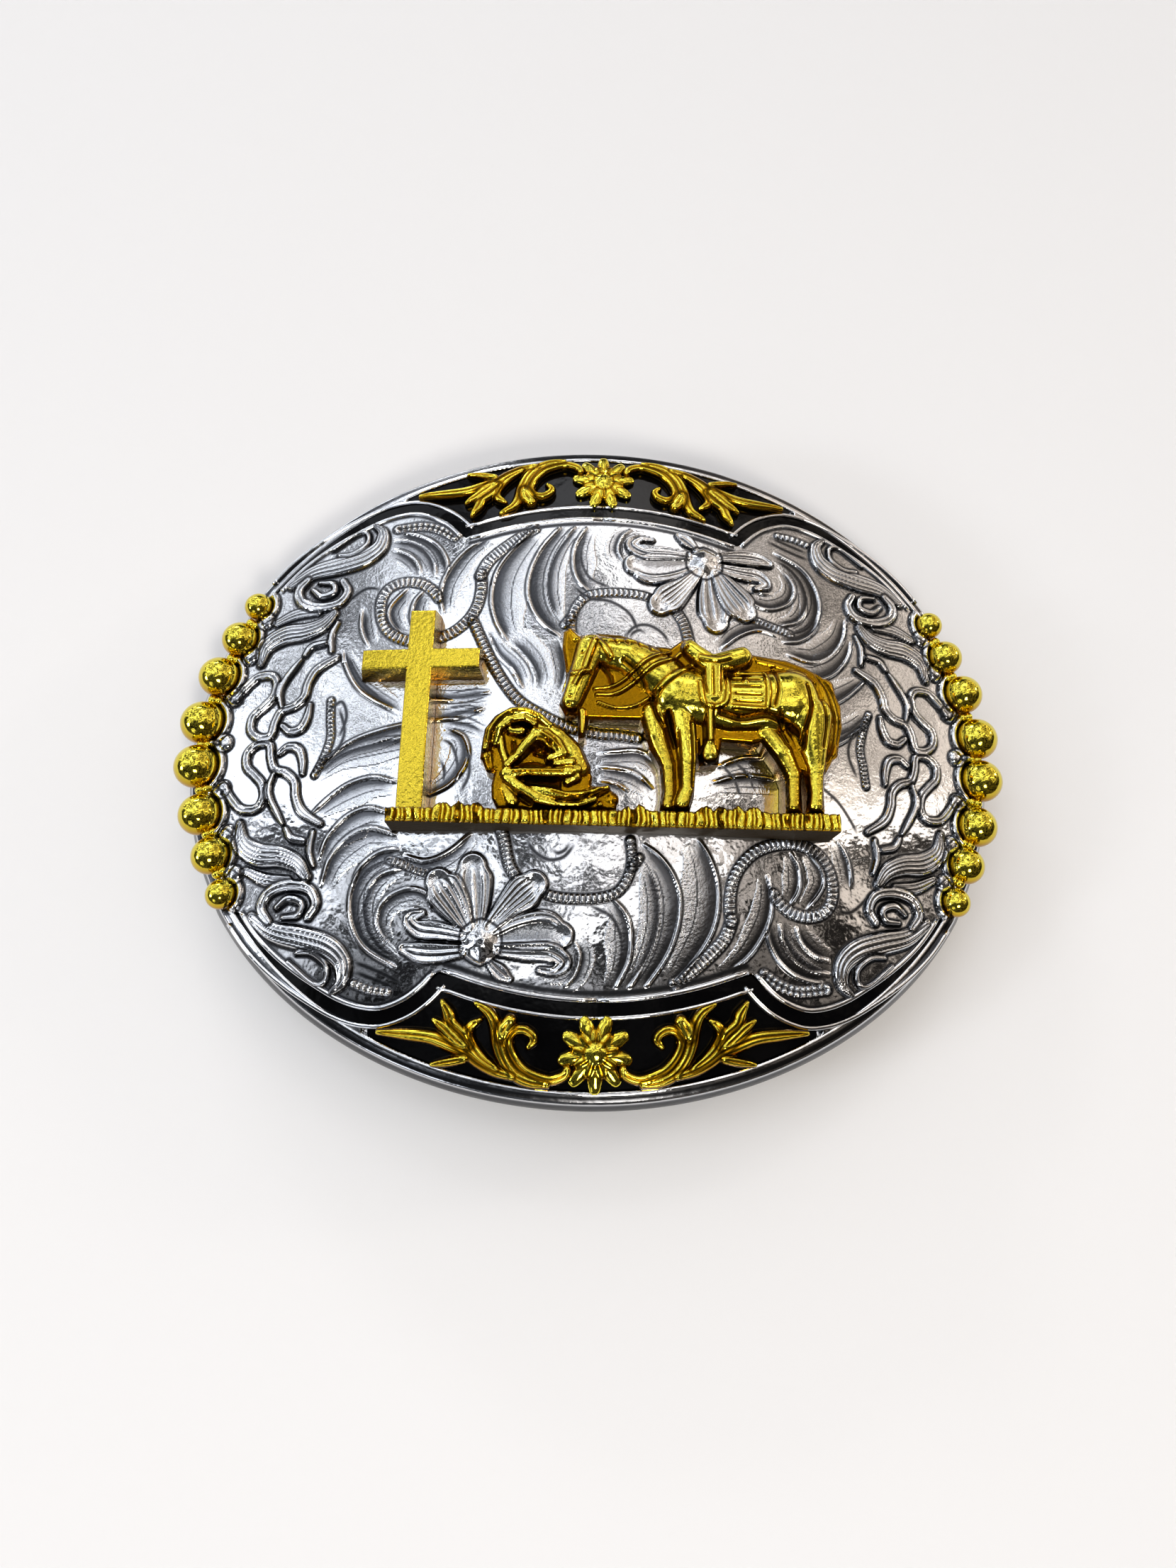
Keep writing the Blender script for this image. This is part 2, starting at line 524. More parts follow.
# Strokes that the upper half alone has
upperScoops = [
    ([[-10.6, 11.4, 1], [-9.8, 10.8, 1.3], [-8.1, 8.9, 1.3], [-7.2, 7, 1], [-7.1, 5.4, 0.4]], 1, 0.5),
    ([[-5.2, 11.6, 1], [-4.4, 9.3, 1.2], [-4.3, 7.4, 0.9], [-4.9, 5.1, 0.4]], -1, 0.45),
    ([[-13, 12.6, 0.3], [-11.8, 10, 0.7], [-10, 8, 0.9], [-8.6, 5.6, 0.4]], 1, 0.3),
    ([[-17.3, 4.2, 0.4], [-14.5, 4.7, 0.9], [-12.2, 4.7, 0.5]], -1, 0.4),
    ([[-17.6, 2.5, 0.4], [-15.1, 2.8, 0.8], [-13, 2.3, 0.5]], -1, 0.4),
    ([[-17.5, 1.4, 0.4], [-15, 1.3, 0.8], [-12.9, 0.2, 0.5]], -1, 0.4),
    ([[-29.9, 10.9, 0.3], [-29.1, 8.5, 0.7], [-27.6, 6.1, 0.9], [-25.6, 4.6, 0.9], [-22.6, 3, 0.5]],
     1, 0.35),
    ([[-0.4, -2.5, 0.5], [1.8, -2.1, 0.9], [4.3, -2, 0.9], [6.4, -3.4, 0.5]], -1, 0.45),
    ([[-0.4, -3.9, 0.5], [1.8, -4, 0.9], [3.9, -4.6, 0.9], [5.6, -6.2, 0.5]], -1, 0.45),
    ([[-0.2, -5.4, 0.5], [1.6, -5.6, 0.7], [3, -6.6, 0.5]], -1, 0.4),
]
upperGrooves = [
    [[-17.5, 1], [-15.6, -0.4], [-14.6, -2.6], [-14.5, -4.7], [-15.4, -6.6]],
    [[-17.9, -0.4], [-16.6, -1.1], [-15.8, -3.3], [-16, -5.7]],
    [[-17.8, -2.6], [-17.2, -4], [-17.3, -5.7]], [[-31.1, 2.9], [-29.6, 4.3], [-28.8, 2.4], [-29.5, -0.1]],
    [[-3.5, 18.6], [-1.6, 17], [1, 16.6], [3.2, 15.1], [4.3, 12.7]],
    [[13.4, -2.6], [15, -4.4], [15.8, -6.6]], [[14.8, -2.2], [16.6, -3.8], [17.4, -5.8]],
]
upperMilgrain = [[-15, 13.8], [-13.4, 10.4], [-11.8, 7.3], [-9.6, 4.3], [-7, 2.5], [-3.8, 1], [-0.3, 0.2],
 [1.8, 0.1],
                 [4.1, -0.2]]
petalRows = [   # flower of the lower half: centre line and half widths, height, veins
    ([[-12.9, -20.4, 0.9], [-13.1, -18, 1.5], [-13.4, -15.8, 1.8], [-13.5, -14.5, 1.3]], 0.5, 3),
    ([[-13.8, -20.8, 0.7], [-15.2, -18.6, 1.5], [-16.5, -16.8, 1.8], [-17.1, -16, 1.2]], 0.62, 4),
    ([[-11.4, -20.8, 0.7], [-9.6, -18.8, 1.2], [-7.9, -17.2, 1.7], [-6.9, -16.4, 1.3]], 0.7, 5),
    ([[-10.6, -22, 0.9], [-8, -21.4, 1.7], [-5.6, -21.2, 1.9], [-3.9, -21.6, 1.2]], 0.6, 2),
    ([[-10.2, -23.2, 0.5], [-7.5, -23.3, 0.8], [-5, -23.4, 0.9], [-3.6, -24.3, 0.8], [-4.5, -25.2, 0.45],
     [-6, -25.1, 0.3]], 0.66, 1),
    ([[-14.4, -21.6, 0.6], [-16.6, -21.2, 0.8], [-18.8, -20.9, 0.9], [-19.9, -19.9, 0.6],
     [-18.6, -19.3, 0.3]], 0.6, 1),
    ([[-14.4, -23.2, 0.6], [-16.8, -23.4, 0.9], [-18.8, -23.3, 0.9], [-20.4, -22.9, 0.5]], 0.6, 1),
    ([[-11.2, -24.4, 0.4], [-10.2, -25.3, 0.7], [-9.2, -26, 0.35]], 0.5, 1),
]
# Raised ribbons of the lower left panel, mirrored to the others: rows, height, lines along
panelBands = [
    ([[-42.3, -5.2, 0.38], [-41.2, -6.7, 0.42], [-39.9, -7.8, 0.42], [-38.2, -7.8, 0.42],
     [-37.5, -6.6, 0.42], [-37.8, -5.1, 0.42],
      [-38.9, -3.9, 0.42], [-39.9, -2.9, 0.42], [-40, -1.4, 0.42], [-38.9, -0.4, 0.42],
       [-37.5, -0.5, 0.42], [-37.1, -2.1, 0.42],
      [-36.5, -3.4, 0.42], [-35.1, -3.9, 0.42], [-34, -5, 0.42], [-33.7, -6.6, 0.42], [-32.8, -8.3, 0.45],
       [-30.6, -9.7, 0.3]], 0.5, 1),
    ([[-36.6, -4, 0.25], [-37, -5.6, 0.35], [-36.6, -7, 0.38], [-35.6, -8.6, 0.35], [-34.9, -9.6, 0.2]],
     0.45, 0),
    ([[-36.2, -1.6, 0.3], [-35.2, -0.9, 0.4], [-34, -1.2, 0.45], [-33.4, -2.4, 0.4], [-33.2, -4, 0.25]],
     0.45, 1),
    ([[-39.9, -9.4, 0.4], [-39.4, -11.6, 0.9], [-37.4, -12.9, 1.1], [-34.8, -13.2, 1], [-32.8, -14, 0.8],
     [-31.6, -15.4, 0.5]], 0.5, 4),
    ([[-38.6, -14.6, 0.4], [-36.2, -15.6, 0.6], [-33.6, -15.8, 0.5]], 0.35, 2),
    ([[-37.4, -19.5, 0.5], [-34.8, -21.1, 0.9], [-31.8, -21.8, 1.1], [-28.8, -22.7, 1.1],
     [-27, -24.2, 0.9], [-26.8, -26.2, 0.6],
      [-27.9, -27.3, 0.3]], 0.5, 3),
    ([[-31, -19.6, 0.4], [-30.3, -18.2, 0.45], [-31.2, -16.7, 0.5], [-33.4, -16.3, 0.55],
     [-35.6, -17, 0.55], [-36.4, -18.6, 0.5],
      [-35.4, -20, 0.35]], 0.5, 1),
    ([[-34.6, -18.6, 0.3], [-33.4, -17.7, 0.4], [-31.9, -18.2, 0.4], [-32.2, -19.4, 0.35],
     [-33.8, -19.6, 0.25]], 0.5, 0),
    ([[-31.9, -23.3, 0.25], [-30.2, -23.4, 0.3], [-28.6, -24.7, 0.3], [-28.7, -26.2, 0.3],
     [-30, -26.3, 0.25], [-32.8, -24.2, 0.25]], 0.4, 0),
    ([[-34.5, -10.2, 0.3], [-33.8, -11.2, 0.4], [-32.2, -11.6, 0.35]], 0.4, 0),
    ([[-31.4, -10.6, 0.3], [-31.6, -12.6, 0.35], [-31, -14.2, 0.25]], 0.3, 0),
]
panelMirror = [[-1, 1], [1, 1], [-1, -1], [1, -1]]
# How deep and wide the tools cut these strokes
carving = {"scoopDepth": 1.7, "crestAside": 0.34, "crestHalf": 0.27, "crestHeight": 0.26,
           "beadWide": 1.25, "beadPitch": 1.2, "beadHeight": 0.5, "petalWide": 1.16, "petalHigh": 1.15,
           "ribbonWide": 1.15, "ribbonHigh": 1.35}


def crest(rows, side):
    path = offset(np.array(rows)[:, :2], -carving["crestAside"] * side)
    ridge(plate, path, carving["crestHalf"], carving["crestHeight"], 1.2, 0.7)


def widened(rows, by):
    return [[x, y, by * half] for x, y, half in rows]


print("plate heights")
plate = Sheet(-46.6, 46.6, -37.2, 37.2, 0.132)
plate.grain = 0.04 + 0.11 * unit((plate.y + 9) / 6)   # sandier in the upper half
for sy in (1, -1):
    groove(plate, offset(mirrored(bothSides(arcHalf + lobe[:1]), 1, sy), -1.62 * sy), 0.3, 0.35, 0.85, 0.0)
    for sx in (1, -1):
        groove(plate, offset(mirrored(lobeCurve, sx, sy), -1.25 * sx * sy), 0.22, 0.25, 0.7, 0.0)
for rows in [r for both in grooves for r in bothWays(both)] + upperGrooves:
    groove(plate, rows)
for rows, side, depth in upperScoops:
    scoop(plate, rows, side, carving["scoopDepth"] * depth)
    crest(rows, side)
for rows, side, depth in scoops:
    for r in bothWays(rows):
        scoop(plate, r, side, carving["scoopDepth"] * depth)
for rows, side, depth in scoops:
    for r in bothWays(rows):
        crest(r, side)
for rows, half, pitch, across in milgrains:
    for r in bothWays(rows):
        milgrain(plate, r, carving["beadWide"] * half, carving["beadPitch"] * pitch,
                 carving["beadHeight"], across)
milgrain(plate, upperMilgrain, 0.6, 0.58, 0.6)
for rows, height, veins in petalRows:
    for r in bothWays(widened(rows, carving["petalWide"])):
        petal(plate, r, carving["petalHigh"] * height, veins)

flowerHeart = {"x": 12.3, "y": 22.3, "radius": 2.15, "height": 1.15, "sides": 6}
for turn in (-1, 1):
    dx, dy = plate.x - turn * flowerHeart["x"], plate.y - turn * flowerHeart["y"]
    corners = np.linspace(0, 2 * math.pi, flowerHeart["sides"] + 1)[:-1]
    d = 0.5 * np.max([dx * math.cos(a) + dy * math.sin(a) for a in corners], axis=0) + 0.5 * np.hypot(dx, dy)
    dome = unit(1.25 * (1 - d / flowerHeart["radius"])) ** 0.6
    plate.h = np.maximum(plate.h, flowerHeart["height"] * dome * (d < flowerHeart["radius"]))
    plate.cavity = np.where(d < flowerHeart["radius"] - 0.1, 0.0, np.maximum(
        plate.cavity, 0.8 * bell(d - flowerHeart["radius"] - 0.1, 0.16)))
for rows, height, lines in panelBands:
    for sx, sy in panelMirror:
        wider = mirrored(widened(rows, carving["ribbonWide"]), sx, sy)
        band(plate, wider, carving["ribbonHigh"] * height, lines)

# Beads' collars: a rolled silver lip round the inner side of each rim bead, and a bud between two
beadRows = [[41.2, 17, 1.65], [42.9, 12.8, 2.1], [44.8, 8.17, 2.35], [46, 2.6, 2.5]]   # x, y, radius
beadPairs = list(zip(beadRows, beadRows[1:] + [[46, -2.6, 2.5]]))
collar = {"gap": 0.55, "half": 0.5, "height": 0.6, "from": 2.1, "to": 4.4, "bud": 1.05, "budHeight": 0.75}
for bx, by, br in beadRows:
    ring = [[bx + (br + collar["gap"]) * math.cos(a), by + (br + collar["gap"]) * math.sin(a)]
            for a in np.linspace(collar["from"], collar["to"], 11)]
    for sx, sy in panelMirror:
        ridge(plate, mirrored(ring, sx, sy), collar["half"], collar["height"], 0.6, 0.9)
for (ax, ay, ar), (bx, by, br) in beadPairs:
    for sx, sy in panelMirror:
        d = np.hypot(plate.x - sx * ((ax + bx) / 2 - ar - 0.5), plate.y - sy * (ay + by) / 2)
        bump = np.sqrt(unit(1 - (d / collar["bud"]) ** 2))
        plate.h = np.maximum(plate.h, collar["budHeight"] * bump)
        plate.cavity = np.maximum(plate.cavity, 0.8 * bell(d - collar["bud"] - 0.08, 0.14))

# The channels under the enamel's lines and fields, with a flat kerb beside each line
channel = {"half": 0.72, "kerb": 0.95, "soft": 0.1, "depth": 0.9, "besideLine": 1.05, "fromRim": 2.1}
fieldHalf = arcHalf + [p for p in lobeCurve if p[0] <= linePath["fieldEnd"]]
for sy in (1, -1):
    win, d = plate.near(mirrored(bothSides(arcHalf + lobeCurve), 1, sy), 1.2, 0)[:2]
    sunk = unit((channel["half"] - d) / channel["soft"])
    plate.h[win] = plate.h[win] * (1 - sunk) - channel["depth"] * sunk
    flattened = unit((channel["kerb"] - d) / channel["soft"]) * (1 - sunk)
    plate.h[win] = np.maximum(plate.h[win], 0) * flattened + plate.h[win] * (1 - flattened)
above = np.abs(plate.y) - np.interp(np.abs(plate.x), *np.array(fieldHalf).T) - channel["besideLine"]
fromEdge = (1 - np.hypot(plate.x / face["half"][0], plate.y / face["half"][1])) * 42
sunk = np.where(np.abs(plate.x) < linePath["fieldEnd"], np.minimum(above, fromEdge - channel["fromRim"]), -1)
sunk = unit(sunk / channel["soft"])
plate.h = plate.h * (1 - sunk) - channel["depth"] * sunk

print("plate meshes")
slab = {"inset": 1.75, "under": -1.2, "back": -2.2, "backTop": -1.1, "backInset": 0.4}


# How far outside the relief's oval a point lies, nearly
def plateEdge(s):
    a, b = face["half"][0] - slab["inset"], face["half"][1] - slab["inset"]
    q = np.hypot(s.x / a, s.y / b)
    return (q - 1) * a * b / np.maximum(np.hypot(s.x * b / a, s.y * a / b), 1)


midJ, midI = int(np.searchsorted(plate.ys, 0.0)), int(np.searchsorted(plate.xs, 0.0))
for high, rows in (("lower", slice(0, midJ + 1)), ("upper", slice(midJ, None))):
    for side, cols in (("left", slice(0, midI + 1)), ("right", slice(midI, None))):
        tile = relief(f"plate_{high}_{side}", plate, plateEdge(plate), slab["under"], nickel, ["plate"],
                      part=(rows, cols))
        setNormals(tile.data, plate)

# Rim: from its outer foot over the rounded shoulder to the inner lip, then under the relief, as rows of
# [inset, lift, shade] swept round the oval, which dips behind the beads
rimProfile = [[0, -2.2, 0.95], [0, -1.55, 0.95], [0.08, -1.3, 0.9], [0.25, -0.95, 0.85], [0.45, -0.6, 0.75],
              [0.65, -0.32, 0.2], [0.85, -0.16, 0], [1.0, -0.16, 0.75], [1.3, -0.1, 0.7], [1.6, 0.02, 0],
              [1.88, 0.02, 0], [2.0, -0.16, 0.5], [2.12, -0.95, 0.9], [2.12, -2.2, 0.9]]
rimSweep = {"turns": 720, "dip": 1.1, "dipReach": 19.0, "dipFrom": 30}
a, b = face["half"]
bm = bmesh.new()
shade = bm.verts.layers.float.new("cavity")
bmesh.ops.create_grid(bm, x_segments=len(rimProfile), y_segments=rimSweep["turns"], size=1.0)
bm.verts.ensure_lookup_table()
for k, v in enumerate(bm.verts):
    j, i = divmod(k, len(rimProfile) + 1)
    inset, lift, v[shade] = rimProfile[i % len(rimProfile)]
    t = 2 * math.pi * (j % rimSweep["turns"]) / rimSweep["turns"]
    n = math.hypot(math.cos(t) * b, math.sin(t) * a)
    x = a * math.cos(t) - inset * math.cos(t) * b / n
    y = b * math.sin(t) - inset * math.sin(t) * a / n
    if inset < 2.0 and abs(x) > rimSweep["dipFrom"]:
        lift -= rimSweep["dip"] * min(1.0, 6 * max(0.0, 1 - abs(y) / rimSweep["dipReach"]))
    v.co = facePoint(x, y, lift)
bmesh.ops.remove_doubles(bm, verts=bm.verts, dist=1e-7)
finishMesh(bm, "rim", nickel, ["plate"])

back = Sheet(-47, 47, -38, 38, 1.0, slab["backTop"])
relief("plate_back", back, plateEdge(back) + slab["backInset"], slab["back"], satinNickel, ["plate"])

print("ridges")
ridgeWires = ((-0.92, 0.3, 0.28), (0.88, 0.24, 0.18))   # aside from the enamel line, half width, lift
bm = bmesh.new()
for sy in (1, -1):
    for sx in (1, -1):
        for part in (arcHalf + lobeCurve[:1], lobeCurve):
            for aside, half, lift in ridgeWires:
                wire(bm, offset(mirrored(part, sx, sy), aside * sx * sy), half, lift)
bmesh.ops.holes_fill(bm, edges=[e for e in bm.edges if e.is_boundary], sides=0)
finishMesh(bm, "enamel_ridges", nickel, ["plate"])

for look, nodes in ((enamel, ("top_enamel_field", "bottom_enamel_field", "top_enamel_line",
                              "bottom_enamel_line")), (satinNickel, ("belt_loop", "hook_peg"))):
    for node in nodes:
        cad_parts[node].data.materials[0] = look

# Scrolls and leaves of the lower right spray, as centre lines with half widths
ornament = {"gap": 0.05, "base": 0.25, "rise": 0.85, "full": 0.42, "least": 0.12, "wider": 1.28}
scrollRows = [
    [[2.9, -34.8, 0.3], [3.3, -35.4, 0.38], [4.6, -35.8, 0.38], [6, -35.5, 0.4], [7.3, -34.9, 0.42],
     [8.3, -33.9, 0.42], [8.9, -32.8, 0.42], [9, -31.9, 0.4], [8.5, -31.15, 0.38], [7.6, -30.95, 0.36],
     [6.7, -31.35, 0.34], [6.4, -32, 0.32], [6.9, -32.6, 0.2]],
    [[4.9, -36.3, 0.2], [6.8, -36, 0.36], [8.4, -35.2, 0.42], [9.5, -33.8, 0.46], [10.1, -32.2, 0.5],
     [10.4, -30.6, 0.5], [11.1, -29.3, 0.4], [12.5, -28.4, 0.15]],
    [[9.7, -31.5, 0.5], [9.4, -30.8, 0.62], [8.9, -30.1, 0.5]],
    [[8.6, -35.5, 0.25], [10.4, -34.9, 0.4], [12, -34, 0.48], [13.3, -33.1, 0.5], [15, -32.4, 0.55],
     [17, -31.7, 0.5], [19.6, -31.4, 0.42], [22.6, -31.2, 0.15]],
    [[10.2, -34.7, 0.2], [11.8, -33.6, 0.42], [12.8, -32.5, 0.5], [13.2, -31.4, 0.45], [12.9, -30.6, 0.4],
     [12, -30, 0.15]],
    [[13, -32.4, 0.3], [13.8, -31.3, 0.45], [14.9, -30.4, 0.5], [15.3, -29.4, 0.48], [16, -28.2, 0.15]],
    [[13.6, -32.6, 0.4], [14.8, -31.6, 0.42], [15.8, -30.7, 0.4], [16.8, -30, 0.15]],
    [[13.5, -33.8, 0.3], [15.2, -34.1, 0.3], [16.8, -34.3, 0.12]],
]
print("ornament")
fineStep = 0.1
scrollSheet = Sheet(2.4, 23.4, -37, -27.6, fineStep, ornament["base"])
scrollEdge = np.full(scrollSheet.x.shape, 3.0)
scrollRows = [[[x, y, ornament["least"] + ornament["wider"] * half] for x, y, half in rows]
              for rows in scrollRows]
for rows in scrollRows:
    win, d, along, side, half, run = scrollSheet.near(rows, 1.5)
    t = d / np.maximum(half, 0.05)
    full = np.minimum(1, half / ornament["full"])
    top = ornament["base"] + ornament["rise"] * np.sqrt(unit(1 - t ** 2)) * full
    scrollSheet.h[win] = np.where(t < 1, np.maximum(scrollSheet.h[win], top), scrollSheet.h[win])
    darken(scrollSheet, win, 0.95 * bell(t - 1, 0.45))
    bright = (t < 0.55) & (top >= scrollSheet.h[win] - 0.01)
    scrollSheet.cavity[win] = np.where(bright, 0.0, scrollSheet.cavity[win])
for rows in scrollRows:
    groove(scrollSheet, [r[:2] for r in rows], 0.12, 0.2, 0.8, 0.8)
    win, d, along, side, half, run = scrollSheet.near(rows, 2.0)
    scrollEdge[win] = np.minimum(scrollEdge[win], np.where(d < 2.5, d - half, 3.0))
for name, sx, sy in (("bottom_right_scroll", 1, 1), ("bottom_left_scroll", -1, 1),
                     ("top_right_scroll", 1, -1), ("top_left_scroll", -1, -1)):
    relief(name + "_cast", scrollSheet, scrollEdge, ornament["gap"], goldPlate, [name], flip=(sx, sy))

# Flower: nine outer and nine inner petals round a button
flower = {"y": -33.3, "petals": 9, "outer": 3.9, "inner": 2.5, "button": 1.15, "base": 0.35, "rise": 0.45,
          "innerBase": 0.62, "innerRise": 0.35, "buttonRise": 0.48, "top": 1.1}
flowerSheet = Sheet(-4.2, 4.2, -37.6, -29, fineStep, 0.3)
radius = np.hypot(flowerSheet.x, flowerSheet.y - flower["y"])
swing = np.arctan2(flowerSheet.x, flower["y"] - flowerSheet.y) * flower["petals"] / 2
lobes, notches = np.abs(np.cos(swing)), np.abs(np.sin(swing))
outerEdge = flower["outer"] * (1 - 0.34 * notches ** 3)
innerEdge = flower["inner"] * (1 - 0.3 * lobes ** 3)
h = flower["base"] + flower["rise"] * np.sqrt(unit(1 - unit(radius / outerEdge) ** 4)) * (0.55 + 0.45 * lobes)
h -= 0.14 * bell(lobes * radius, 0.3) * (radius > 1)
rise = unit(1 - (radius / innerEdge) ** 2) ** 0.5 * (0.6 + 0.4 * notches)
h = np.where(radius < innerEdge, np.maximum(h, flower["innerBase"] + flower["innerRise"] * rise), h)
rise = np.sqrt(unit(1 - (radius / flower["button"]) ** 2))
h = np.where(radius < flower["button"], np.maximum(h, flower["innerBase"] + flower["buttonRise"] * rise), h)
flowerSheet.h = np.minimum(h, flower["top"])
flowerSheet.cavity = np.clip(0.8 * bell(radius - 1.25, 0.14) + 0.6 * bell(radius - innerEdge - 0.1, 0.14)
                             + 0.8 * (1 - lobes) ** 2 * (radius > 1.3), 0, 0.95)
for name, sy in (("bottom_flower", 1), ("top_flower", -1)):
    relief(name + "_cast", flowerSheet, radius - outerEdge, ornament["gap"], goldPlate, [name], flip=(1, sy))

# Rim beads, browner towards their lower sides, and the small pips between them
print("beads")
beads = {"around": 40, "up": 24, "shade": 0.6, "shadeFrom": 0.75, "lean": 0.35,
         "pips": ((-0.9, 0.45), (-0.2, 0.6))}
for i in range(8):
    for word in ("left", "right"):
        node = f"bead_{word}_{i + 1}"
        boxLow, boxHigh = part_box(node)
        r = (boxHigh.x - boxLow.x) / 2
        bm = bmesh.new()
        shade = bm.verts.layers.float.new("cavity")
        bmesh.ops.create_uvsphere(bm, u_segments=beads["around"], v_segments=beads["up"], radius=r)
        for v in bm.verts:
            low = beads["shadeFrom"] - v.co.z / r - beads["lean"] * v.co.y / r
            v[shade] = beads["shade"] * min(1.0, max(0.0, low))
        bmesh.ops.translate(bm, verts=bm.verts, vec=(boxLow + boxHigh) / 2)
        finishMesh(bm, node + "_ball", goldPlate, [node])
bm = bmesh.new()
for (ax, ay, ar), (bx, by, br) in beadPairs:
    px, py = (ax + bx) / 2, (ay + by) / 2
    n = Vector((px / face["half"][0] ** 2, py / face["half"][1] ** 2)).normalized()
    for sx, sy in panelMirror if by > 0 else panelMirror[:2]:
        for shift, size in beads["pips"]:
            pip = bmesh.ops.create_icosphere(bm, subdivisions=3, radius=size * mm)["verts"]
            at = facePoint(sx * (px + n.x * shift), sy * (py + n.y * shift), 0.35)
            bmesh.ops.translate(bm, verts=pip, vec=at)
finishMesh(bm, "rim_pips", goldPlate)

# Figures: outlines as [x, y], forms as chains of [x, y, height over the crown, radius]
ground = {"top": -9.1, "bottom": -11.0, "left": -22.6, "width": 48.4}
figures = {"top": 4.95, "web": 2.6, "back": 0.12, "foot": 0.15, "step": 0.11, "quickStep": 0.2, "soft": 0.35,
           "grooveWide": 1.2, "grooveDeep": 1.3, "strapHigh": 1.25}
footY = ground["top"] + figures["foot"]
horseOutline = [[-3.4, 10.5], [-2.5, 9.6], [-0.3, 9.9], [1.8, 9.8], [3.6, 9.3], [5.7, 8.6],
    [7.4, 8.5], [8.6, 9.4], [10, 9.2], [10.7, 8], [12, 7.2], [14, 8.1], [15.2, 8.8], [15.9, 8],
    [17.8, 7.7], [19.9, 7.4], [22, 6.6], [23.6, 5.7], [24.8, 4.2], [25.5, 2.5], [25.5, 0.2],
    [25, -1.8], [24, -3.8], [23.2, -5.1], [23.1, footY], [21.1, footY], [21.4, -7], [21.1, -4.6],
    [20.8, -4.6], [20.8, footY], [19, footY], [19.4, -6.4], [18.5, -3.6], [17.9, -1.2],
    [15.9, -1.8], [12.6, -1.6], [12.2, -4], [10.2, -4.2], [10, -1.6], [9.8, -4.9], [9.6, -7.3],
    [9.1, footY], [6, footY], [6.3, -6.6], [6, -4.1], [5, -2.5], [4.1, 0.5], [-1.3, 0.5],
    [-1.7, -1.4], [-2.4, -1.6], [-2.5, 0.9], [-3.8, 0.8], [-4.5, 2], [-3.8, 4], [-3.9, 6],
    [-4.3, 8.4], [-4.2, 10]]
horseForms = [
    [[8.2, 3.4, 1, 3.4], [13.6, 2.5, 0.9, 3.5], [20, 2.9, 1, 3.7]],
    [[6.6, 5, 1.3, 2.8], [2.8, 7.3, 1.8, 2.1], [-0.6, 7.9, 2.1, 1.7]],
    [[-1.2, 8, 2.4, 1.7], [-2, 5.6, 2.6, 1.4], [-3.2, 2.3, 2.7, 1.15]],
    [[-2.8, 9.2, 2.4, 0.5], [-3.6, 10.2, 2.4, 0.25]],
    [[5.4, 1.2, 1.9, 1.4], [5.7, -1, 2.1, 1.1], [6.9, -4.3, 2.3, 0.8], [7, -7.2, 2.3, 0.7],
     [6.8, -8.2, 2.3, 0.75]],
    [[8.3, 1.4, 2.4, 1.5], [8.7, -1.4, 2.8, 1.1], [8.9, -3.8, 3.1, 0.95], [8.8, -6.8, 3, 0.75],
     [8.3, -8.1, 3, 0.8]],
    [[17.4, -0.4, 1.9, 1.2], [18.9, -2.6, 2.2, 1.1], [20, -5, 2.3, 0.8], [19.8, -8.2, 2.3, 0.75]],
    [[22, 1, 1.8, 2.7], [22.4, -4.4, 2.4, 0.95], [22.2, -7.4, 2.5, 0.75], [22.1, -8.1, 2.5, 0.8]],
    [[24, 4.6, 1.9, 0.9], [24.6, 1, 2.1, 0.9], [24.3, -2.6, 2.1, 0.6]],
    [[9.3, 8.2, 3.2, 0.9], [11.6, 6.3, 3.4, 1.2], [14.8, 7.3, 3.2, 1.2]],
    [[11.7, 5.6, 3.6, 1.1], [11.6, 3, 3.7, 1.1]],
    [[11.2, 2.2, 4, 0.45], [11.2, -2, 3.6, 0.45], [11.2, -3.1, 2.9, 1]],
    [[-2.1, 1.2, 2.7, 0.4], [-2, -0.9, 2.7, 0.4]]]
horseStraps = [   # rows, half width, height
    ([[-0.7, 8.9], [-1.4, 7], [-1.9, 5.4]], 0.3, 0.3), ([[-0.7, 8.9], [0.4, 7.6], [0.9, 6.5]], 0.28, 0.25),
    ([[-3.9, 5.2], [-2.6, 4.9], [-1.2, 5.3]], 0.25, 0.25), ([[-1.9, 5.4], [-2.6, 4.4], [-3, 3.6]],
     0.22, 0.25),
    ([[-0.8, 3], [1.5, 3.2], [3.5, 4.5], [5.5, 6], [7.5, 7], [9, 8.4]], 0.24, 0.35),
    ([[-1, 3.6], [1.2, 4], [3.2, 5.4], [5.2, 6.9], [7.4, 7.9]], 0.2, 0.3),
    ([[-0.6, 2.3], [1.2, 1.7], [3, 1.8], [4.4, 2.4], [6.2, 3.8]], 0.22, 0.3),
    ([[5.2, 2.2], [6.2, 3.8], [8, 5.3], [10, 6.7]], 0.34, 0.35),
    ([[10, 6.9], [12, 6.6], [13.6, 7]], 0.3, 0.3), ([[11.2, 2], [11.2, 0], [11.2, -2]], 0.42, 0.4),
    ([[10.2, 4.4], [10.4, 2.4], [11, 1.6], [12.6, 1.8], [13.1, 3], [13.1, 6]], 0.22, 0.3),
    ([[13.3, 5.8], [17.2, 5.6]], 0.2, 0.3), ([[13.3, 1.6], [17.2, 1.4]], 0.2, 0.3),
    ([[17.2, 5.8], [17.4, 3.6], [17.2, 1.4]], 0.22, 0.3), ([[15, 5], [15.1, 4.2]], 0.3, 0.3),
    ([[0.5, 8.9], [3, 8.9], [5.5, 8.1], [7, 7.4]], 0.3, 0.2), ([[16.4, 7.2], [19, 6.6], [22, 5.6]],
     0.3, 0.15)]
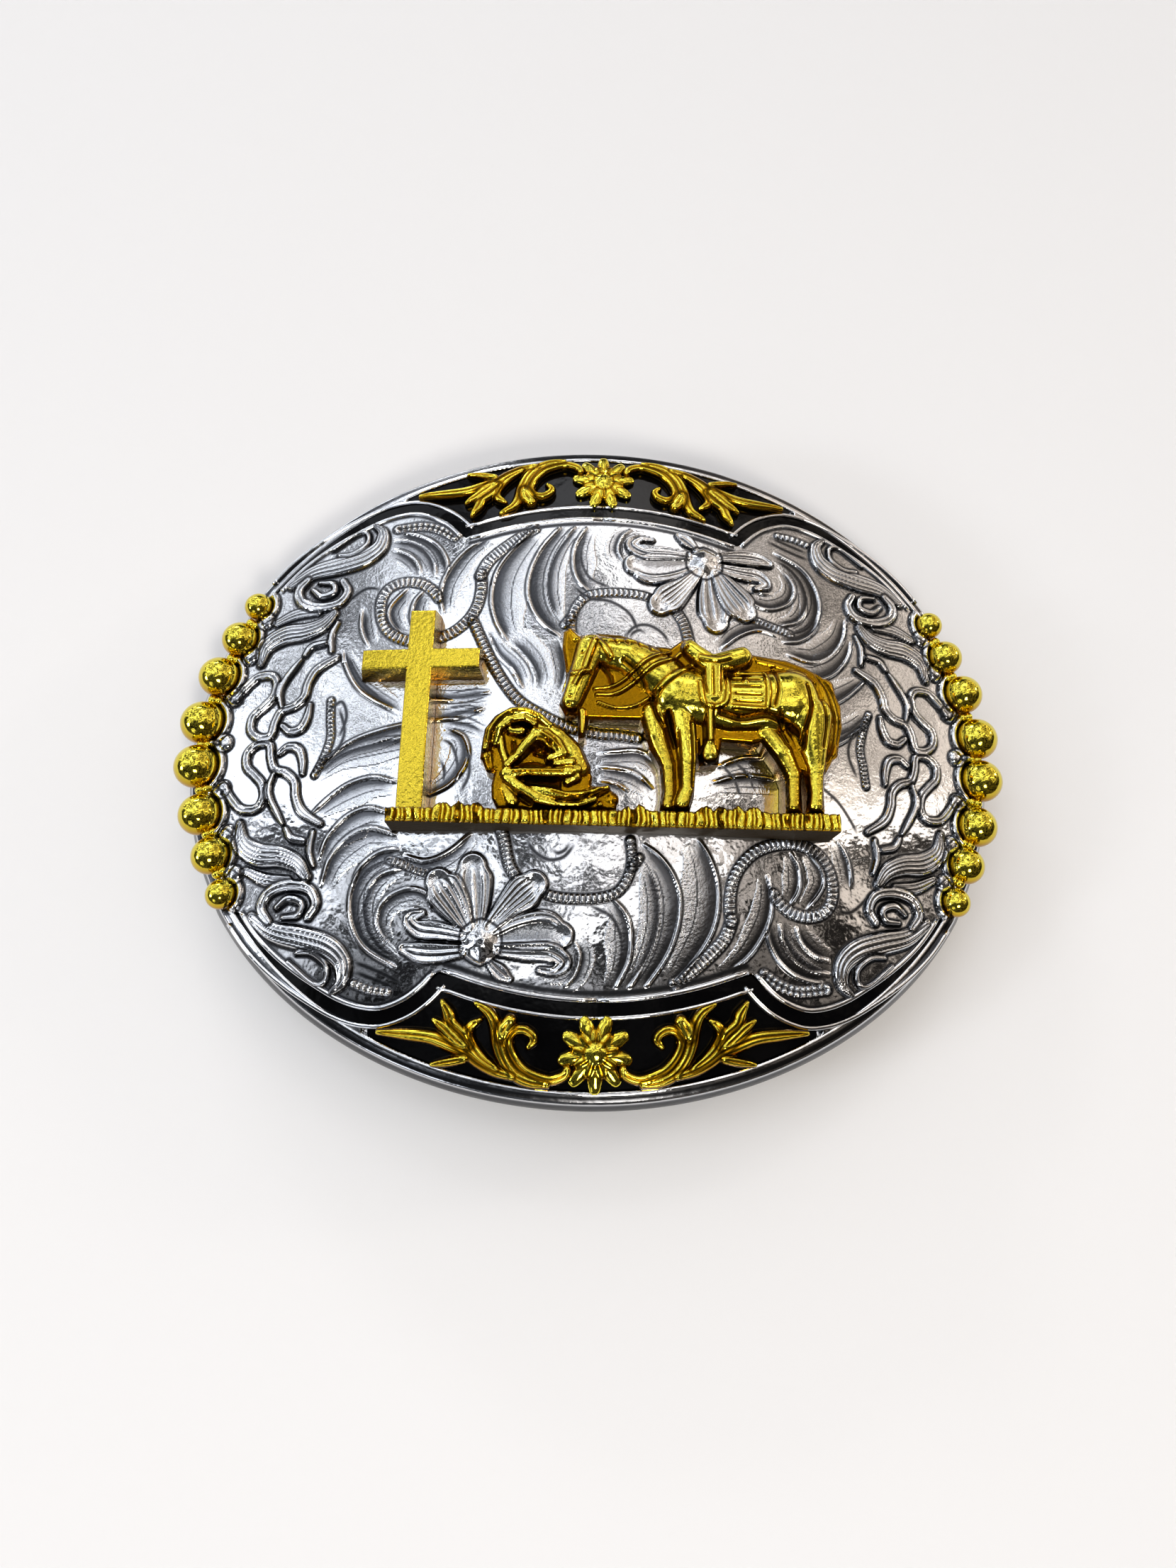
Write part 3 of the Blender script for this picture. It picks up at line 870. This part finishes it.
horseGrooves = [   # rows, width, depth
    ([[12, 1.2], [14.5, 0.6], [17.5, 0.9], [20, -0.4], [21, -2]], 0.3, 0.5),
    ([[22.9, 6], [24, 4], [24.6, 1], [24.4, -1.6], [23.6, -3.6]], 0.14, 0.3), ([[23.6, 5.4], [24.8, 3],
     [25.1, 0.4], [24.7, -2]], 0.12, 0.3),
    ([[22.6, 5], [23.3, 2.4], [23.5, 0], [23.1, -2.4]], 0.16, 0.4),
    ([[9.3, 0.2], [9.4, -3], [9.3, -6.8]], 0.13, 0.4), ([[7.9, -0.6], [8.1, -4], [8.1, -6.8]], 0.1, 0.25),
    ([[21.6, 4.6], [21.9, 2], [21.2, -0.6], [20.9, -2.6]], 0.2, 0.45), ([[18.2, 6.6], [18.5, 4],
     [18, 1.6]], 0.16, 0.3),
    ([[5.2, 3.2], [5.6, 1.2], [6.6, -0.4]], 0.2, 0.5),
    ([[13.6, 4.8], [16.9, 4.7]], 0.12, 0.2), ([[13.6, 3.9], [16.9, 3.8]], 0.12, 0.2), ([[13.6, 3],
     [16.9, 2.9]], 0.12, 0.2),
    ([[13.6, 2.2], [16.9, 2.1]], 0.12, 0.2),
    ([[10.6, 6], [10.7, 4.2], [11, 2.8]], 0.12, 0.2), ([[11.6, 6], [11.6, 2.6]], 0.12, 0.2), ([[12.5, 6],
     [12.4, 3]], 0.12, 0.2),
    ([[1, 9.3], [1.6, 8.2]], 0.12, 0.25), ([[2.2, 9.3], [2.8, 8.2]], 0.12, 0.25), ([[3.6, 9], [4.1, 8]],
     0.12, 0.25),
    ([[4.9, 8.6], [5.3, 7.6]], 0.12, 0.25), ([[6.2, 8.3], [6.5, 7.4]], 0.12, 0.2),
    ([[-0.2, 6.4], [0.8, 5.2], [1, 4.2]], 0.2, 0.3), ([[6.9, 1.4], [7.2, -0.6], [7.9, -2.6]], 0.2, 0.5),
    ([[18.6, 1.6], [18.9, -0.2], [19.6, -2]], 0.2, 0.3), ([[2, 6.8], [3.6, 5.4], [4.6, 3.6]], 0.3, 0.25),
    ([[-3.6, 2.6], [-3.1, 2.4]], 0.14, 0.3), ([[-3.7, 1.7], [-3.2, 1.7]], 0.12, 0.25), ([[-2.4, 7.3],
     [-1.9, 7.1]], 0.2, 0.3)]
cowboyOutline = [[-12.6, -3.8], [-12.4, -1.8], [-11.4, 0.2], [-9.8, 1.3], [-8, 1.6], [-6.4, 1.1],
    [-4.8, -0.3], [-3.2, -1.8], [-2.2, -2.6], [-1.3, -4.3], [-0.9, -5.5], [-1, -6.4], [0.9, -6.6],
    [1.8, -7.6], [1.6, footY], [-10.6, footY], [-11.2, -7.8], [-11.3, -6.5], [-11, -5]]
cowboyForms = [
    [[-12.5, -2.4, 3.4, 0.45], [-12.2, -0.6, 3.8, 0.5], [-11.2, 0.7, 4, 0.5], [-9.8, 1.5, 4, 0.5],
     [-8.3, 1.6, 3.8, 0.5], [-6.9, 1.1, 3.5, 0.5], [-5.8, 0.3, 3, 0.5]],
    [[-11.5, -1.9, 3.1, 0.35], [-11.1, -0.3, 3.7, 0.45], [-10, 0.5, 3.9, 0.45], [-8.6, 0.8, 3.8, 0.45],
     [-7.4, 0.3, 3.5, 0.4]],
    [[-12.2, -3.2, 2.2, 0.8], [-11.9, -4.4, 2.1, 0.6]],
    [[-11, -1, 3.2, 0.3], [-10.7, -2.6, 3.2, 0.32], [-10.1, -4.2, 3.3, 0.35]],
    [[-9.8, -0.3, 2.9, 0.6], [-8.8, -0.5, 3.2, 0.6]],
    [[-10.1, -4.3, 3.5, 0.4], [-9, -3.2, 3.7, 0.5], [-8, -2, 3.9, 0.55], [-7.3, -1.2, 3.9, 0.6]],
    [[-7.2, -1, 3.6, 0.8], [-6.2, -1.1, 3.7, 0.85], [-5, -2, 3.7, 0.8], [-4.2, -3, 3.6, 0.6]],
    [[-6.8, 0.2, 2, 1.2], [-4.8, -1, 2.1, 1.3], [-3.2, -2.6, 2.1, 1.3], [-2.3, -4.4, 2, 1.2]],
    [[-4.3, -3.1, 3.9, 0.4], [-5.6, -3.6, 3.8, 0.35]], [[-4.9, -4.1, 3.7, 0.35], [-3.2, -3.9, 3.7, 0.45]],
    [[-10.2, -5.2, 3.2, 0.6], [-8, -5.1, 3.5, 0.5], [-5.2, -5.2, 3.6, 0.5], [-3.4, -5, 3.5, 0.6],
     [-2.6, -4.6, 3, 0.6]],
    [[-2.8, -5.4, 2.9, 0.65], [-3.6, -6, 3, 0.4]],
    [[-10, -5.7, 3.2, 0.55], [-8.4, -6.9, 3.5, 0.6], [-6.8, -7.9, 3.5, 0.6], [-5, -8.4, 3.3, 0.5]],
    [[-10.3, -6.6, 2.2, 0.7], [-9.4, -8, 2.4, 0.8]],
    [[-7.6, -6.8, 3.3, 0.4], [-5.8, -7.2, 3.7, 0.5], [-3.8, -7.7, 3.8, 0.5], [-1.9, -7.5, 3.8, 0.5],
     [-0.3, -6.9, 3.6, 0.45], [0.7, -6.5, 3.3, 0.3]],
    [[-4.4, -8.5, 3.3, 0.4], [-2.5, -8.5, 3.3, 0.4], [-0.7, -7.8, 3.1, 0.35]],
    [[1.1, -7.7, 1.9, 0.85]], [[-0.1, -8.3, 2.6, 0.35]]]
cowboyStraps = [
    ([[-12.3, -2.2], [-12, -0.6], [-11, 0.8], [-9.7, 1.6], [-8.2, 1.7], [-6.8, 1.2]], 0.16, 0.16),
    ([[-6.7, -0.8], [-5.3, -1.7], [-4.5, -2.7]], 0.14, 0.16), ([[-7.1, -1.7], [-6.2, -1.9], [-5.4, -2.8]],
     0.16, 0.2),
    ([[-9.6, -5], [-7, -4.9], [-4, -4.9]], 0.14, 0.16), ([[-5.4, -7], [-3.4, -7.5], [-1.4, -7.3],
     [0.3, -6.6]], 0.14, 0.16)]
cowboyGrooves = [
    ([[-6.9, -1.9], [-6.3, -2.6]], 0.16, 0.4), ([[-6, -1.5], [-5.4, -2.4]], 0.14, 0.35),
    ([[-5.2, -1.3], [-4.6, -2.2]], 0.12, 0.3), ([[-9.9, 0.1], [-8.4, 0.2], [-7.6, -0.3]], 0.2, 0.5),
    ([[-8.2, -5.9], [-6.2, -6.1], [-4.2, -6.3]], 0.34, 0.6), ([[-7.4, -2.6], [-5.9, -3]], 0.24, 0.5),
    ([[-9.6, -1.4], [-9.4, -2.6], [-9.7, -3.4]], 0.2, 0.3), ([[-9, -4.5], [-7.4, -4.1], [-5.8, -4.5]],
     0.2, 0.3),
    ([[-8.9, -7.4], [-7.2, -8.5]], 0.2, 0.4), ([[-4.9, -8], [-2.6, -8.1], [-0.9, -7.4]], 0.14, 0.35),
    ([[-12.2, -3], [-12, -4.4]], 0.1, 0.2), ([[-11.8, -2.8], [-11.6, -4.2]], 0.1, 0.2)]


# Signed distance to a polygon, negative inside
def polygonEdge(s, points):
    p = np.array(points, float)
    best = np.full(s.x.shape, 1e9)
    odd = np.zeros(s.x.shape, bool)
    for a, b in zip(p, np.roll(p, -1, 0)):
        dx, dy = b - a
        px, py = s.x - a[0], s.y - a[1]
        t = unit((px * dx + py * dy) / (dx * dx + dy * dy))
        best = np.minimum(best, (px - t * dx) ** 2 + (py - t * dy) ** 2)
        if dy:
            crossed = (a[1] > s.y) != (b[1] > s.y)
            odd ^= crossed & (s.x < dx * (s.y - a[1]) / dy + a[0])
    return np.where(odd, -1, 1) * np.sqrt(best)


# Rounded forms blended into each other over the web, whose edge grows with them
def roundForms(s, forms, edge, blend):
    web = figures["web"]
    total = np.full(s.x.shape, web)
    for rows in forms:
        r = np.array(rows, float)
        for a, b in zip(r[:-1], r[1:]) if len(r) > 1 else [(r[0], r[0] + [0.01, 0, 0, 0])]:
            dx, dy = b[:2] - a[:2]
            px, py = s.x - a[0], s.y - a[1]
            t = unit((px * dx + py * dy) / (dx * dx + dy * dy))
            d = np.hypot(px - t * dx, py - t * dy)
            z, rad = a[2] + t * (b[2] - a[2]), a[3] + t * (b[3] - a[3])
            up = z + np.sqrt(np.clip(rad ** 2 - d ** 2, 0, None)) - unit(d - rad) * 6
            k = unit(0.5 + 0.5 * (up - total) / blend)
            total = total * (1 - k) + up * k + blend * k * (1 - k)
            edge[:] = np.minimum(edge, np.where(z + rad > web * 0.9, d - rad, edge))
    return total


# Rows scaled from the ground line: across, up, and in their heights and widths
def grown(rows, by):
    return [[r[0] * by[0], footY + (r[1] - footY) * by[1], *r[2:3], *[v * by[2] for v in r[3:]]]
            for r in rows]


# Cast figure: heights over the crown, with straps and cut lines on the rounded forms
def figure(node, outline, forms, straps, cuts, by, blend):
    c = figures
    p = np.array(outline)
    s = Sheet(p[:, 0].min() - 0.8, p[:, 0].max() + 0.8, footY, p[:, 1].max() + 0.8,
              c["step"])
    edge = polygonEdge(s, outline)
    s.h = roundForms(s, [grown(rows, by) for rows in forms], edge, blend)
    edge = np.maximum(edge, footY - s.y + 0.001)
    for rows, width, depth in cuts:
        groove(s, grown(rows, by), c["grooveWide"] * width, c["grooveDeep"] * depth, 1.0, 0.4)
    for rows, half, height in straps:
        ridge(s, grown(rows, by), half, c["strapHigh"] * height, 0.2, 0.95)
    s.grain[:] = 0.25 + 0.75 * unit((-2 - s.y) / 2)
    s.h = c["top"] - c["soft"] * np.log1p(np.exp(np.clip((c["top"] - s.h) / c["soft"], -30, 30)))
    s.h -= 0.45 * unit(1 + edge / 0.45) ** 2
    s.cavity = np.maximum(s.cavity, 0.65 * unit((c["web"] + 0.7 - s.h) / 0.7))
    gy, gx = np.gradient(s.h, s.step)
    s.cavity = np.maximum(s.cavity, 0.92 * unit((np.hypot(gx, gy) - 0.8) / 1.3))
    relief(node + "_cast", s, edge, c["back"], goldPlate, [node], flat=True)


print("figures")
horseGrow, cowboyGrow = (1.055, 1.08, 1.06), (1.04, 1.07, 1.05)
figure("horse", grown(horseOutline, horseGrow), horseForms, horseStraps, horseGrooves, horseGrow, 0.22)
figure("cowboy", grown(cowboyOutline, cowboyGrow), cowboyForms, cowboyStraps, cowboyGrooves, (1, 1, 1), 0.1)

# Cross: one bar across another, its front following the plate, pitted, with its edges rounded over
crossBars = {"x": -20.45, "foot": ground["top"] + 0.2, "height": 22.9, "half": 1.4, "armX": -20.35,
             "armY": 8.1, "armHalf": 1.15, "armReach": 6.6, "front": 3.4, "draft": 0.4, "round": 0.18,
             "grit": 0.9, "frontShade": 0.2, "wallShade": 0.6}
c = crossBars
bm = bmesh.new()
grainLayer = bm.verts.layers.float.new("grain")
shadeLayer = bm.verts.layers.float.new("cavity")
for x, y, halfX, halfY in ((c["x"], c["foot"] + c["height"] / 2, c["half"], c["height"] / 2),
                           (c["armX"], c["armY"], c["armReach"], c["armHalf"])):
    bar = bmesh.ops.create_grid(bm, x_segments=1, y_segments=1, size=1.0)["verts"]
    bmesh.ops.scale(bm, verts=bar, vec=(halfX * mm, halfY * mm, 1))
    bmesh.ops.translate(bm, verts=bar, vec=(x * mm, y * mm, 0))
alongX = [c["x"] - c["half"], c["x"] + c["half"]]
alongY = [c["armY"] - c["armHalf"], c["armY"] + c["armHalf"]]
cuts = [((1, 0, 0), at) for at in alongX] + [((0, 1, 0), at) for at in alongY]
cuts += [((0, 1, 0), c["foot"] + c["height"] * k / 12) for k in range(1, 12)]
cuts += [((1, 0, 0), c["armX"] + c["armReach"] * k / 5) for k in range(-4, 5)]
for axis, at in cuts:
    bmesh.ops.bisect_plane(bm, geom=bm.verts[:] + bm.edges[:] + bm.faces[:],
                           plane_co=Vector(axis) * at * mm, plane_no=axis)
bmesh.ops.remove_doubles(bm, verts=bm.verts, dist=1e-6)
stacked = {}
for f in bm.faces:
    middle = f.calc_center_median()
    stacked.setdefault((round(middle.x * 1e6), round(middle.y * 1e6)), []).append(f)
bmesh.ops.delete(bm, geom=[f for same in stacked.values() for f in same[1:]], context="FACES_ONLY")
made = bmesh.ops.extrude_face_region(bm, geom=list(bm.faces), use_keep_orig=True)["geom"]
for v in only(bmesh.types.BMVert, made):
    away = abs(v.co.x / mm - c["x"]) - c["half"], abs(v.co.y / mm - c["armY"]) - c["armHalf"]
    if min(away) > -1e-3 or v.is_boundary:
        v.co.x += math.copysign(c["draft"] * mm, v.co.x - c["x"] * mm) if away[0] > -1e-3 else 0
        v.co.y += math.copysign(c["draft"] * mm, v.co.y - c["armY"] * mm) if away[1] > -1e-3 else 0
    v.co.z = -1.0
for v in bm.verts:
    isFront = v.co.z > -0.5
    settle(v, c["front"] if isFront else figures["back"])
    v[grainLayer] = c["grit"]
    v[shadeLayer] = c["frontShade"] if isFront else c["wallShade"]
bmesh.ops.recalc_face_normals(bm, faces=bm.faces)
sharp = [e for e in bm.edges if len(e.link_faces) == 2 and e.calc_face_angle(0) > 0.8
         and all(v.co.z > facePoint(v.co.x / mm, v.co.y / mm, 1)[2] for v in e.verts)]
bmesh.ops.bevel(bm, geom=sharp, offset=c["round"] * mm, segments=3, profile=0.5, affect="EDGES", material=-1)
finishMesh(bm, "cross_cast", goldPlate, ["cross"], smooth=False)

# Ground strip: a row of grass blades along its front, over a dark wall down to the plate
grass = {"blade": 0.66, "front": 4.2, "ribs": 0.66, "clumps": 0.16, "short": 0.45, "tufts": 0.35,
         "tall": ((-17, -12.2), (2.6, 5), (10.3, 17.8))}
leftX, rightX = ground["left"], ground["left"] + ground["width"]


def tuft(i):
    x = leftX + (i + 0.5) * grass["blade"]
    tall = any(start < x < end for start, end in grass["tall"])
    return grass["short"] + grass["tufts"] * math.sin(math.radians(137 * i)) if tall else 0


stripOutline = [[leftX, ground["bottom"] + 0.4], [leftX, ground["top"]]]
stripOutline += [[leftX + (i + 0.5) * grass["blade"], ground["top"] + tuft(i)]
                 for i in range(int(ground["width"] / grass["blade"]) - 1)]
stripOutline += [[rightX, ground["top"]], [rightX, ground["bottom"]]]
strip = Sheet(leftX - 0.4, rightX + 0.4, ground["bottom"] - 0.4, ground["top"] + 1.2, fineStep)
edge = polygonEdge(strip, stripOutline)
sway = 0.16 * np.sin(strip.x * 2.7) + 0.1 * np.sin(strip.x * 6.1 + 1) + 0.07 * np.sin(strip.y * 3.1 + strip.x)
rib = np.abs(np.cos(math.pi * (strip.x - leftX + sway) / grass["blade"]))
clump = 0.5 + 0.5 * np.sin(strip.x * 1.9 + 2 * np.sin(strip.x * 0.7))
strip.h = grass["front"] - grass["ribs"] * (1 - rib ** 0.6) - grass["clumps"] * clump
strip.h -= 0.4 * unit(1 + edge / 0.35) ** 2
gaps = np.sin(strip.x * 4.3 + 1.3 * np.sin(strip.y * 2.4)) * np.sin(strip.x * 1.37 + 0.6)
strip.cavity = np.maximum(np.clip(1.3 - 2 * rib + 0.7 * unit(gaps), 0, 0.95), unit(1 + edge / 0.12))
strip.grain[:] = 0.5
relief("ground_strip_cast", strip, edge, figures["back"], goldPlate, ["ground_strip"], flat=True, foot=1.0,
       wall=deepWall)

# Floor of uncoated white paper, dull and evenly pale
print("floor, light and camera")
bm = bmesh.new()
bmesh.ops.create_grid(bm, x_segments=1, y_segments=1, size=1.5)
floorMesh = bpy.data.meshes.new("floor")
bm.to_mesh(floorMesh)
bm.free()
floorMesh.materials.append(newMaterial("paper_floor", "#FAFAFA", 0.9)[0])
addObject("floor", floorMesh)

# A dim room round the buckle, seen in reflections alone: soft round windows over patches of light and dark,
# a little brighter to the left
world = bpy.data.worlds.new("studio")
bpy.context.scene.world = world
world.use_nodes = True
sky = world.node_tree
way = addNode(sky, "ShaderNodeTexCoord").outputs["Generated"]
ways = addNode(sky, "ShaderNodeSeparateXYZ", {0: way}).outputs


def span(value, low, high, at, to):
    return addNode(sky, "ShaderNodeMapRange", {
        "Value": value, "From Min": low, "From Max": high, "To Min": at, "To Max": to},
        interpolation_type="SMOOTHSTEP").outputs["Result"]


def combined(a, b, operation="MULTIPLY"):
    return addNode(sky, "ShaderNodeMath", {0: a, 1: b}, operation=operation).outputs["Value"]


patches = addNode(sky, "ShaderNodeTexNoise", {"Vector": way, "Scale": 11.0, "Detail": 2.0, "Roughness": 0.6})
patchy = span(patches.outputs["Fac"], 0.445, 0.56, 0.05, 2.35)
# The way to each window, where it begins and ends to fade, and its brightness
windows = (((-0.05, 0.4, 0.92), 0.3, 0.8, 0.72), ((-0.78, 0.12, 0.6), 0.18, 0.45, 0.9),
           ((0.75, 0.15, 0.62), 0.2, 0.5, 0.45), ((0.1, 0.8, 0.6), 0.2, 0.4, 0.7),
           ((-0.5, -0.75, 0.4), 0.1, 0.25, 1.0), ((0.5, 0.5, 0.1), 0.3, 0.6, 0.8),
           ((-0.6, 0.6, 0.1), 0.3, 0.6, 1.0))
glow = 0.06
for heading, near, far, radiance in windows:
    away = addNode(sky, "ShaderNodeVectorMath", {0: way, 1: heading}, operation="DISTANCE").outputs["Value"]
    glow = combined(span(away, near, far, radiance, 0.0), glow, "ADD")
glow = combined(glow, combined(patchy, span(ways["X"], -0.5, 0.6, 1.12, 0.9)))
tint = addNode(sky, "ShaderNodeMix", {"Factor": span(ways["X"], -0.3, 0.6, 0.0, 1.0), "A": rgb("#F1F6FF"),
                                      "B": rgb("#FFEEDD")}, data_type="RGBA")
room = addNode(sky, "ShaderNodeBackground", {"Color": tint.outputs["Result"], "Strength": glow})
# Behind the floor the viewer sees a plain pale wall
paleWall = addNode(sky, "ShaderNodeBackground", {"Color": rgb("#F4F4F4"), "Strength": 0.9})
seen = addNode(sky, "ShaderNodeMixShader", {
    0: addNode(sky, "ShaderNodeLightPath").outputs["Is Camera Ray"],
    1: room.outputs["Background"], 2: paleWall.outputs["Background"]})
sky.links.new(seen.outputs["Shader"], sky.nodes["World Output"].inputs["Surface"])

# Soft panels over the bench: the way to each from the buckle, its size, how bright it looks and its tint
panels = {"window_left": ((-0.6, 0.15, 0.78), (0.1, 0.34), 1.3, "#EEF5FF"),
          "window_bar": ((-0.25, 0.35, 0.9), (0.06, 0.3), 1.4, "#EEF5FF"),
          "right_bar": ((0.35, 0.2, 0.9), (0.06, 0.3), 1.6, "#FFF4E8"),
          "far_right_bar": ((0.68, 0.1, 0.7), (0.04, 0.25), 1.8, "#FFF4E8"),
          "top": ((0, 0.65, 0.75), (0.35, 0.05), 1.2, "#FFFFFF"),
          "low_bar": ((0.05, -0.12, 1), (0.4, 0.035), 1.6, "#FFFFFF"),
          "low_lamp": ((0.1, -0.62, 0.78), (0.12, 0.12), 25, "#FFF8EE"),
          "left_lamp": ((-0.9, -0.25, 0.42), (0.1, 0.1), 22, "#F4F8FF"),
          "right_lamp": ((0.93, 0.35, 0.35), (0.06, 0.06), 25, "#FFF2E4"),
          "far_lamp": ((-0.35, 0.93, 0.33), (0.15, 0.04), 20, "#FFFFFF")}
lampDistance = 0.6
for name, (heading, size, radiance, tint) in panels.items():
    light = bpy.data.lights.new(name, "AREA")
    light.shape = "RECTANGLE"
    light.size, light.size_y = size
    light.energy = radiance * math.pi * size[0] * size[1]
    light.color = rgb(tint)[:3]
    place = Vector(heading).normalized() * lampDistance
    turn = (-place).to_track_quat("-Z", "Y").to_matrix().to_4x4()
    addObject(name, light).matrix_world = Matrix.Translation(place) @ turn
bpy.context.scene.view_settings.view_transform = "Standard"

# The photo's view: where the camera stands in millimetres, where it looks and which way is up
cameraView = {"at": (-4.31, -32.57, 132.2), "view": (0.0642, 0.3519, -0.9338),
              "up": (-0.0269, 0.9360, 0.3509), "lens": 24.97, "sensor": 36, "shift": (-0.0298, -0.0931)}
camera = bpy.data.cameras.new("camera")
camera.sensor_width = cameraView["sensor"]
camera.lens = cameraView["lens"]
camera.shift_x, camera.shift_y = cameraView["shift"]
camera.clip_start = 0.01
view = Vector(cameraView["view"]).normalized()
across = view.cross(Vector(cameraView["up"]).normalized()).normalized()
eye = addObject("camera", camera)
eye.matrix_world = Matrix.Translation(Vector(cameraView["at"]) * mm) @ Matrix(
    (across, across.cross(view), -view)).transposed().to_4x4()
bpy.context.scene.camera = eye

print("done")
